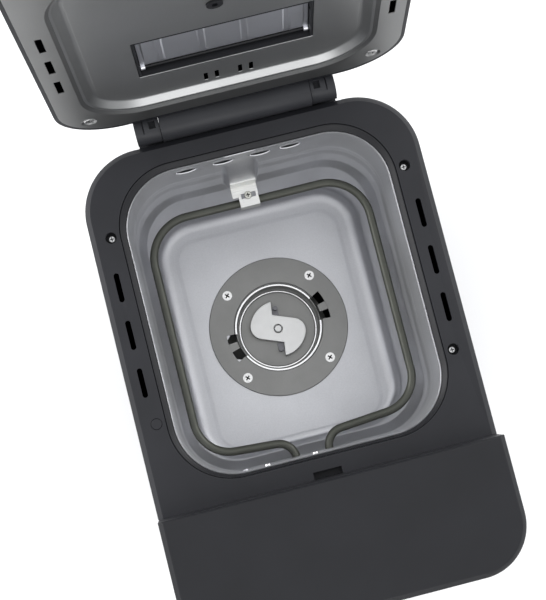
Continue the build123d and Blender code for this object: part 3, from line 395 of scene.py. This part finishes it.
def between(a, b, steps):
    """Points from a up to but not including b."""
    return [tuple(p + (q - p) * i / steps for p, q in zip(a, b)) for i in range(steps)]


ARC_STEPS = 20
SIDE_STEPS = (12, 12, 12, 12)
FINE_BACK = (12, 130, 12, 12)


def rounded_rectangle(half, front, back, radius, front_radius=None, steps=SIDE_STEPS):
    """A closed outline seen from above, anticlockwise; steps are for right, back, left, front."""
    near = radius if front_radius is None else front_radius
    corners = (
        ((half - near, front + near), near, -90),
        ((half - radius, back - radius), radius, 0),
        ((-half + radius, back - radius), radius, 90),
        ((-half + near, front + near), near, 180),
    )
    arcs = [arc_points(c, r, a, a + 90, ARC_STEPS) for c, r, a in corners]
    outline = []
    for arc, following, count in zip(arcs, arcs[1:] + arcs[:1], steps):
        outline += arc[:-1] + between(arc[-1], following[0], count)
    return outline


def rounded_path(points, radii, steps=8):
    """An open path through points, each inner corner turned into an arc. Points are tuples."""
    path = [Vector(points[0])]
    for i, radius in enumerate(radii, 1):
        before, corner, after = (Vector(p) for p in points[i - 1 : i + 2])
        towards, away = (before - corner).normalized(), (after - corner).normalized()
        half_angle = towards.angle(away) / 2
        reach = radius / math.tan(half_angle)
        bisector = (towards + away).normalized()
        centre = corner + bisector * (radius / math.sin(half_angle))
        start, end = corner + towards * reach - centre, corner + away * reach - centre
        sweep = start.angle(end)
        for k in range(steps + 1):
            share = k / steps
            mixed = (
                start * (math.sin((1 - share) * sweep) / math.sin(sweep))
                + end * (math.sin(share * sweep) / math.sin(sweep))
            )
            path.append(centre + mixed)
    path.append(Vector(points[-1]))
    return [tuple(p) for p in path]


def dense(path, step):
    """The same path with its long spans divided."""
    filled = []
    for a, b in zip(path, path[1:]):
        span = (Vector(b) - Vector(a)).length
        filled += between(a, b, max(1, math.ceil(span / step)))
    return filled + [path[-1]]


def smooth(value, low, high):
    """Runs from 0 to 1 between two values, gently at both ends."""
    share = min(1.0, max(0.0, (value - low) / (high - low)))
    return share * share * (3 - 2 * share)


def blended(outline_a, outline_b, share):
    """An outline part of the way between two outlines of the same number of points."""
    return [
        (p[0] + (q[0] - p[0]) * share, p[1] + (q[1] - p[1]) * share)
        for p, q in zip(outline_a, outline_b)
    ]


def loops_mesh(loops, close=False):
    """Points and faces of a skin through closed loops of 3-D points."""
    count = len(loops[0])
    points = [p for loop in loops for p in loop]
    faces = []
    rows = len(loops)
    for row in range(rows if close else rows - 1):
        here, there = row * count, (row + 1) % rows * count
        for i in range(count):
            j = (i + 1) % count
            faces.append((here + i, here + j, there + j, there + i))
    return points, faces


def finish_mesh(obj, body, slot, opened=False, sharp=32):
    """Smooths, places, paints and attaches a new piece to its body."""
    mesh = obj.data
    mesh.polygons.foreach_set("use_smooth", [True] * len(mesh.polygons))
    mesh.set_sharp_from_angle(angle=math.radians(sharp))
    if opened:
        mesh.transform(OPENED)
    paint(obj, slot)
    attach(obj, body)
    return obj


def new_object(name, data):
    obj = bpy.data.objects.new(name, data)
    bpy.context.scene.collection.objects.link(obj)
    return obj


def new_mesh(name, points, faces):
    """An object from points in millimetres."""
    mesh = bpy.data.meshes.new(name)
    mesh.from_pydata([tuple(c * MM for c in p) for p in points], [], faces)
    mesh.validate()
    return new_object(name, mesh)


def apply_modifiers(obj):
    """Replaces the object's mesh by the one its modifiers give."""
    graph = bpy.context.evaluated_depsgraph_get()
    graph.update()
    made = bpy.data.meshes.new_from_object(obj.evaluated_get(graph))
    obj.modifiers.clear()
    old = obj.data
    obj.data = made
    if isinstance(old, bpy.types.Mesh):
        bpy.data.meshes.remove(old)
    return obj


def thicken(obj, thickness_mm, offset):
    """Gives a skin its sheet thickness."""
    solidify = obj.modifiers.new("sheet", "SOLIDIFY")
    solidify.thickness = thickness_mm * MM
    solidify.offset = offset
    return apply_modifiers(obj)


def plate(name, outlines, low, high, edge=0.3):
    """A flat plate with rounded edges from closed outlines; inner ones are holes."""
    curve = bpy.data.curves.new(name + "_outline", "CURVE")
    curve.dimensions = "2D"
    curve.fill_mode = "BOTH"
    for outline in outlines:
        spline = curve.splines.new("POLY")
        spline.points.add(len(outline) - 1)
        for point, (x, y) in zip(spline.points, outline):
            point.co = (x * MM, y * MM, 0, 1)
        spline.use_cyclic_u = True
    curve.extrude = (high - low) / 2 * MM - edge * MM
    curve.bevel_depth = edge * MM
    curve.bevel_resolution = 2
    curve.offset = -edge * MM
    drawn = new_object(name + "_drawn", curve)
    bpy.context.view_layer.update()
    graph = bpy.context.evaluated_depsgraph_get()
    mesh = bpy.data.meshes.new_from_object(drawn.evaluated_get(graph))
    bpy.data.objects.remove(drawn)
    mesh.name = name
    mesh.transform(Matrix.Translation((0, 0, (low + high) / 2 * MM)))
    return new_object(name, mesh)


def join(name, objects):
    """One object of several meshes that haven't been placed yet."""
    first = objects[0]
    with bpy.context.temp_override(
        active_object=first, object=first, selected_objects=objects, selected_editable_objects=objects
    ):
        bpy.ops.object.join()
    first.name = name
    first.data.name = name
    return first


def tube(name, path, radius_mm, sides=12):
    """A round bar along a path, with flat ends."""
    curve = bpy.data.curves.new(name + "_line", "CURVE")
    curve.dimensions = "3D"
    spline = curve.splines.new("POLY")
    spline.points.add(len(path) - 1)
    for point, place in zip(spline.points, path):
        point.co = (*(c * MM for c in place), 1)
    curve.bevel_depth = radius_mm * MM
    curve.bevel_resolution = sides // 2
    curve.use_fill_caps = True
    drawn = new_object(name + "_drawn", curve)
    bpy.context.view_layer.update()
    graph = bpy.context.evaluated_depsgraph_get()
    mesh = bpy.data.meshes.new_from_object(drawn.evaluated_get(graph))
    bpy.data.objects.remove(drawn)
    mesh.name = name
    return new_object(name, mesh)


def lathe(name, profile, centre=(0.0, 0.0), sides=128, close=False):
    """A turned piece from (radius, height) points, round an upright axis."""
    loops = [
        [
            (
                centre[0] + r * math.cos(math.tau * i / sides),
                centre[1] + r * math.sin(math.tau * i / sides),
                z,
            )
            for i in range(sides)
        ]
        for r, z in profile
    ]
    points, faces = loops_mesh(loops, close)
    return new_mesh(name, points, faces)


# ---- baking chamber -------------------------------------------------------------------------


def chamber_outline(grow):
    return rounded_rectangle(
        CHAMBER_HALF + grow, CHAMBER_FRONT - grow, CHAMBER_BACK + grow, CHAMBER_RADIUS + grow,
        steps=FINE_BACK,
    )


def lower_outline(grow):
    """The outline under the heater; its floor reaches further at the front."""
    ahead = grow * 0.5 if grow < 0 else grow
    return rounded_rectangle(
        LOWER_HALF + grow, LOWER_FRONT - ahead, LOWER_BACK + grow, LOWER_RADIUS + grow,
        steps=FINE_BACK,
    )


def pad_depth(z):
    """How far the heater bracket's pad stands out of the back wall at a height."""
    rise = smooth(z, HEATER_Z - 14, HEATER_Z - 3)
    fade = 1 - smooth(z, HEATER_Z + 24, HEATER_Z + 70)
    return PAD_DEPTH * min(rise, fade)


def pressed(point):
    """Presses the bracket's pad and the louvres into a point of the back wall."""
    x, y, z = point
    if y < LOWER_BACK - 6 or abs(x) > 56:
        return point
    side = 1 - smooth(abs(x - CLIP_X), PAD_HALF - 1.5, PAD_HALF + 2.5)
    y += side * (min(y, CHAMBER_BACK - pad_depth(z)) - y)
    for centre in LOUVRE_X:
        reach = 1 - ((x - centre) / 8.5) ** 2
        if reach > 0 and z <= LOUVRE_Z + 0.01:
            y -= 2.6 * math.sqrt(reach) * smooth(z, LOUVRE_Z - 9, LOUVRE_Z + 4)
    return (x, y, z)


def in_louvre(corners):
    """Whether a face lies in a louvre's slit, just above its lip."""
    low, high = min(c[2] for c in corners), max(c[2] for c in corners)
    if low < LOUVRE_Z - 0.05 or high > LOUVRE_Z + 0.6:
        return False
    return any(all(abs(c[0] - centre) < 8 for c in corners) for centre in LOUVRE_X)


def hole_point(x, y):
    """Where the floor's central hole lies in a direction, wider at the bayonet notches."""
    angle = math.atan2(y, x)
    folded = (math.degrees(angle) + 90) % 180 - 90
    notched = NOTCHES[0][0] - NOTCH_SPARE < folded < NOTCHES[0][1] + NOTCH_SPARE
    radius = NOTCH_R + 1.2 if notched else FLANGE_HOLE_R + 1
    return radius * math.cos(angle), radius * math.sin(angle)


LOWER_IN = CHAMBER_HALF - LOWER_HALF


def chamber_lining():
    """The drawn lining: flared top edge, bead, shoulder under the heater, filleted floor."""
    corners = (
        (0.0, 0.6, LINER_TOP - 0.2),
        (0.0, 0.0, LINER_TOP - 1.0),
        (0.0, 0.0, HEATER_Z + 44),
        (0.0, BEAD_SHOWN, HEATER_Z + 35),
        (0.0, BEAD_SHOWN, HEATER_Z + 25),
        (0.0, 0.0, HEATER_Z + 16),
        (0.0, 0.0, HEATER_Z - 9),
        (LOWER_IN, 0.0, HEATER_Z - 24),
        (LOWER_IN, 0.0, FLOOR_Z),
        (LOWER_IN, -17.0, FLOOR_Z),
        (LOWER_IN, -20.5, FLOOR_Z + 0.2),
        (LOWER_IN, -25.0, FLOOR_Z + 0.2),
    )
    radii = (0.9, 14, 12, 12, 14, 10, 10, 12, 6, 6)
    profile = dense(rounded_path(corners, radii), 2.6)
    index = next(i for i, row in enumerate(profile) if row[2] < LOUVRE_Z)
    profile[index:index] = [(0.0, 0.0, LOUVRE_Z + 0.4), (0.0, 0.0, LOUVRE_Z)]
    loops = []
    for inward, grow, z in profile:
        outline = blended(chamber_outline(grow), lower_outline(grow), inward / LOWER_IN)
        loops.append([pressed((x, y, z)) for x, y in outline])
    last = [(x, y) for x, y, _ in loops[-1]]
    hole = [hole_point(x, y) for x, y in last]
    for share in (0.25, 0.5, 0.8, 1.0):
        drop = 0.2 * max(0.0, 1 - share * 2)
        loops.append([(x, y, FLOOR_Z + drop) for x, y in blended(last, hole, share)])
    points, faces = loops_mesh(loops)
    faces = [face for face in faces if not in_louvre([points[i] for i in face])]
    lining = new_mesh("chamber_lining", points, faces)
    thicken(lining, SHEET, -1.0)
    finish_mesh(lining, "housing", "chamber_steel", sharp=50)
    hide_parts("chamber_liner")
    return lining


chamber_lining()


def trim_ring():
    """The dark ring that slopes from the deck down to the lining's flared edge."""
    inner = chamber_outline(1.5)
    outer = rounded_rectangle(
        ring_high.x, ring_low.y, ring_high.y, RING_RADIUS, steps=FINE_BACK
    )
    top = DECK_Z - 0.5
    profile = (
        (0.0, top - 7.0), (0.0, top - 2.4), (0.05, top - 2.05), (0.14, top - 1.85),
        (0.70, top - 0.55), (0.78, top - 0.15), (0.86, top), (0.97, top), (1.0, top - 0.25),
        (1.0, top - 7.0),
    )
    loops = [[(x, y, z) for x, y in blended(inner, outer, share)] for share, z in profile]
    points, faces = loops_mesh(loops, close=True)
    ring = new_mesh("trim_ring", points, faces)
    finish_mesh(ring, "housing", "trim", sharp=45)
    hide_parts("chamber_trim_ring")
    return ring


trim_ring()

HEATER_ROUTE = (
    (-16.5, -127.0), (-16.5, -101.0), (-89.2, -95.5), (-89.2, 94.5),
    (89.2, 94.5), (89.2, -94.5), (10.5, -101.0), (10.5, -127.0),
)
HEATER_BENDS = (14, 29, 34, 34, 29, 14)


def heater():
    """The sheathed heating element, one smooth loop."""
    line = [(x, y, HEATER_Z) for x, y in rounded_path(HEATER_ROUTE, HEATER_BENDS, steps=20)]
    element = tube("heater_loop", line, HEATER_R, sides=16)
    finish_mesh(element, "housing", "heater_sheath")
    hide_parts("heater_element")
    return element


heater()

# ---- pan seat ---------------------------------------------------------------------------------

def pan_cup():
    """The drawn cup under the seat, with a raised ring at the foot of its wall."""
    corners = (
        (7.2, CUP_BOTTOM),
        (33.6, CUP_BOTTOM),
        (34.3, CUP_BOTTOM + 1.0),
        (35.1, CUP_BOTTOM + 1.0),
        (CUP_BASE_R + 0.9, CUP_BOTTOM + 1.8),
        (CUP_BASE_R + 2.6, CUP_TOP),
    )
    profile = rounded_path(corners, (0.5, 0.25, 0.25, 0.3), steps=6)
    cup = lathe("pan_cup", profile)
    thicken(cup, SHEET * 0.9, 1.0)
    finish_mesh(cup, "housing", "flange_steel", sharp=60)
    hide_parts("well_cup")
    return cup


pan_cup()


def bright_ring(name, radius, z, start=0.0, end=360.0, half=0.9):
    """A polished flat-topped bead, whole or as an arc round the drive shaft."""
    whole = end - start >= 360
    steps = int((end - start) / 2.5)
    angles = [math.radians(start + (end - start) * i / steps) for i in range(steps + 1)]
    flat = half - 0.2
    section = ((flat, 0.3), (-flat, 0.3), (-half, 0.1), (-half, -0.3), (half, -0.3), (half, 0.1))
    loops = [
        [((radius + out) * math.cos(a), (radius + out) * math.sin(a), z + up) for out, up in section]
        for a in (angles[:-1] if whole else angles)
    ]
    points, faces = loops_mesh(loops, close=whole)
    if not whole:
        faces += [tuple(range(6))[::-1], tuple(range(len(points) - 6, len(points)))]
    ring = new_mesh(name, points, faces)
    finish_mesh(ring, "housing", "bright_screws", sharp=20)
    ring.data.materials[0] = BEAD_LOOK
    return ring


FOOT_BEAD_R = 34.7
COLLAR_BEAD_R = 38.2
COLLAR_BEAD_Z = CUP_TOP + 0.3
bright_ring("cup_foot_ring", FOOT_BEAD_R, CUP_BOTTOM + 1.2, half=0.65)
for name, start, end in (
    ("collar_bead_back", NOTCHES[0][1] + 0.5, NOTCHES[1][0] - 0.5),
    ("collar_bead_front", NOTCHES[1][1] + 0.5, NOTCHES[0][0] + 359.5),
):
    bright_ring(name, COLLAR_BEAD_R, COLLAR_BEAD_Z, start, end)

# ---- lid --------------------------------------------------------------------------------------


def recess_outline(grow):
    return rounded_rectangle(106.2 + grow, -112.0 - grow, 117.9 + grow, 45 + grow)


def rectangle(x, y, half_x, half_y, radius=0.5):
    """A small rounded rectangle round a point."""
    corners = ((1, -1, -90), (1, 1, 0), (-1, 1, 90), (-1, -1, 180))
    outline = []
    for sx, sy, start in corners:
        centre = (x + sx * (half_x - radius), y + sy * (half_y - radius))
        outline += arc_points(centre, radius, start, start + 90, 4)
    return outline


def circle(x, y, radius, steps=32):
    return arc_points((x, y), radius, 0, 360, steps)[:-1]


LID_SCREWS = ((105.5, 113.0), (-105.5, 113.0), (108.0, -117.0), (-108.0, -117.0))
VENT_X = (-16.2, -8.2, 8.8, 16.8)
LID_PLUG = (-3.5, -21.0)


def screw_dimple(x, y):
    """The tapered dent in the lid's rim that a lining screw sits in."""
    profile = (
        (5.8, LID_RIM_Z), (5.3, LID_RIM_Z + 0.15), (4.9, LID_RIM_Z + 0.5),
        (4.5, LID_RIM_Z + 1.3), (4.2, LID_RIM_Z + 1.5), (1.9, LID_RIM_Z + 1.5),
    )
    dent = lathe("dent", profile, centre=(x, y), sides=40)
    return thicken(dent, SHEET * 0.6, -1.0)


def lid_lining():
    """The lid's steel lining: slotted rim, stepped dish, and the opening for the flap; the rim, one sheet with the
    dish, is painted a darker steel as painted shade.
    """
    rim_outline = rounded_rectangle(
        LID_HALF, LID_INNER_FRONT, LID_INNER_BACK, LID_INNER_RADIUS, front_radius=2.0
    )
    holes = [recess_outline(0.0)]
    for side in (-1, 1):
        for i in (-1, 0, 1):
            holes.append(rectangle(side * SLOT_X, 1.0 + i * SLOT_PITCH, 2.2, 10.5))
    holes += [circle(x, y, 5.5) for x, y in LID_SCREWS]
    rim = plate("rim", [rim_outline, *holes], LID_RIM_Z, LID_RIM_Z + SHEET, edge=0.12)
    steps = (
        (0.1, LID_RIM_Z),
        (-2.8, LID_RIM_Z + 1.7),
        (-4.6, LID_RIM_Z + 2.1),
        (-9.3, LID_RIM_Z + RECESS_DEPTH),
        (-12.4, LID_RIM_Z + RECESS_DEPTH),
    )
    profile = rounded_path(steps, (0.9, 1.2, 3.0), steps=8)
    loops = [[(x, y, z) for x, y in recess_outline(grow)] for grow, z in profile]
    points, faces = loops_mesh(loops)
    wall = new_mesh("wall", points, faces)
    thicken(wall, SHEET, 1.0)
    bottom = LID_RIM_Z + RECESS_DEPTH
    opening_y = (HOPPER_FRONT + HOPPER_BACK) / 2
    opening = rectangle(0, opening_y, HOPPER_HALF, (HOPPER_BACK - HOPPER_FRONT) / 2, 0.8)
    vents = [rectangle(x, 98.6, 1.5, 6.4, 0.6) for x in VENT_X]
    floor_outlines = [recess_outline(-12.2), opening, circle(*LID_PLUG, 5.6), *vents]
    dish = plate("dish", floor_outlines, bottom, bottom + SHEET, edge=0.36)
    dimples = [screw_dimple(x, y) for x, y in LID_SCREWS]
    lining = join("lid_lining", [rim, wall, dish, *dimples])
    # painted shade: the rim's faces get the darker copy of the lid steel
    painted_shade_rim_faces = [f.index for f in lining.data.polygons if f.center.z < (LID_RIM_Z + 0.9) * MM]
    finish_mesh(lining, "lid", "lid_steel", opened=True, sharp=40)
    lining.data.materials.append(RIM_PAINTED_SHADE_LOOK)
    for index in painted_shade_rim_faces:
        lining.data.polygons[index].material_index = 1
    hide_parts("lid_liner")
    return lining


lid_lining()

CELL_RISE = 1.5
FLAP_CELLS = ((-56, -46), (-42, -17), (-12.5, 12.5), (17, 42), (46, 56))


def flap():
    """The pressed flap: five raised cells with soft edges, and its rolled pivot edge."""
    front, back = HOPPER_FRONT + 3.0, FLAP_PIVOT_Y - 2.8
    step = 0.4
    columns = int(2 * FLAP_HALF / step)
    rows = int((back - front) / step)

    def lift(x, y):
        best = -9.0
        for left, right in FLAP_CELLS:
            inside = min(x - left, right - x, y - (front + 5), FLAP_PIVOT_Y - 7 - y)
            best = max(best, inside)
        return CELL_RISE * smooth(best, -0.5, 0.7)

    points, faces = [], []
    for row in range(rows + 1):
        for column in range(columns + 1):
            x = -FLAP_HALF + 2 * FLAP_HALF * column / columns
            y = front + (back - front) * row / rows
            points.append((x, y, FLAP_Z - 0.2 - lift(x, y)))
    for row in range(rows):
        for column in range(columns):
            a = row * (columns + 1) + column
            faces.append((a, a + columns + 1, a + columns + 2, a + 1))
    sheet = new_mesh("flap_sheet", points, faces)
    thicken(sheet, SHEET, -1.0)
    knuckles = []
    for left, right in ((-FLAP_HALF, -FLAP_HALF + 3), (FLAP_HALF - 3, FLAP_HALF)):
        ends = [(x, FLAP_PIVOT_Y, FLAP_Z) for x in (left, right)]
        knuckles.append(tube("knuckle", ends, 2.4))
        strap = rectangle((left + right) / 2, (back + FLAP_PIVOT_Y) / 2, 1.5, 2.2, 0.2)
        knuckles.append(plate("strap", [strap], FLAP_Z - 0.5, FLAP_Z + 0.3, edge=0.1))
    panel = join("dispenser_flap_panel", [sheet, *knuckles])
    finish_mesh(panel, "flap", "lid_steel", opened=True, sharp=50)
    panel.data.materials[0] = FLAP_LOOK
    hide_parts("dispenser_flap")
    stubs = (-HOPPER_HALF + 0.5, HOPPER_HALF - 0.5)
    pin = tube("flap_pin", [(x, FLAP_PIVOT_Y, FLAP_Z) for x in stubs], 1.2)
    return finish_mesh(pin, "flap", "trim", opened=True)


flap()

# ---- camera, light and floor ------------------------------------------------------------------

CAMERA_AT = (-0.04665, -0.09299, 1.37644)
CAMERA_TURN = (5.625, -0.782, -14.209)
LENS = 85.78
scene = bpy.context.scene
scene.view_settings.view_transform = "Standard"

camera_data = bpy.data.cameras.new("camera")
camera_data.lens = LENS
camera_data.sensor_width = 36.0
camera = new_object("camera", camera_data)
camera.location = CAMERA_AT
camera.rotation_euler = [math.radians(a) for a in CAMERA_TURN]
scene.camera = camera


def floor():
    size = 25.0
    mesh = bpy.data.meshes.new("floor")
    corners = [(-size, -size, 0), (size, -size, 0), (size, size, 0), (-size, size, 0)]
    mesh.from_pydata(corners, [], [(0, 1, 2, 3)])
    ground = new_object("floor", mesh)
    look = Look("pale_floor", Roughness=0.9)
    look.feed(look.ramp(look.noise(400), (0.90, 0.90, 0.905), (0.93, 0.93, 0.93)), "Base Color")
    ground.data.materials.append(look.material)


floor()


def softbox(name, place, target, size, power):
    """A large square area light aimed at a point."""
    data = bpy.data.lights.new(name, "AREA")
    data.shape = "RECTANGLE"
    data.size, data.size_y = size
    data.energy = power
    lamp = new_object(name, data)
    lamp.location = place
    aim = Vector(target) - Vector(place)
    lamp.rotation_euler = aim.to_track_quat("-Z", "Y").to_euler()


softbox("right_softbox", (1.7, 0.75, 1.3), (0, 0, 0.2), (1.2, 1.4), 20)
softbox("left_softbox", (-1.8, 0.55, 1.2), (0, 0, 0.2), (1.2, 1.4), 34)
softbox("front_softbox", (-0.2, -1.7, 1.5), (0, 0.1, 0.4), (1.6, 1.0), 13)


WORLD_LIGHTEST_TOWARDS = (0.25, 0.45, 0.6)
WORLD_STRENGTH = (-0.04, 1.52)


def studio_world():
    """A soft room, lightest overhead and darkest in front."""
    world = bpy.data.worlds.new("studio")
    world.use_nodes = True
    tree = world.node_tree
    place = tree.nodes.new("ShaderNodeTexCoord")
    along = tree.nodes.new("ShaderNodeVectorMath")
    along.operation = "DOT_PRODUCT"
    along.inputs[1].default_value = WORLD_LIGHTEST_TOWARDS
    spread = tree.nodes.new("ShaderNodeMapRange")
    spread.inputs["From Min"].default_value = -1.0
    spread.inputs["From Max"].default_value = 1.0
    spread.inputs["To Min"].default_value, spread.inputs["To Max"].default_value = WORLD_STRENGTH
    background = tree.nodes["Background"]
    background.inputs["Color"].default_value = (0.97, 0.98, 1.0, 1)
    tree.links.new(place.outputs["Generated"], along.inputs[0])
    tree.links.new(along.outputs["Value"], spread.inputs["Value"])
    tree.links.new(spread.outputs["Result"], background.inputs["Strength"])
    scene.world = world


studio_world()
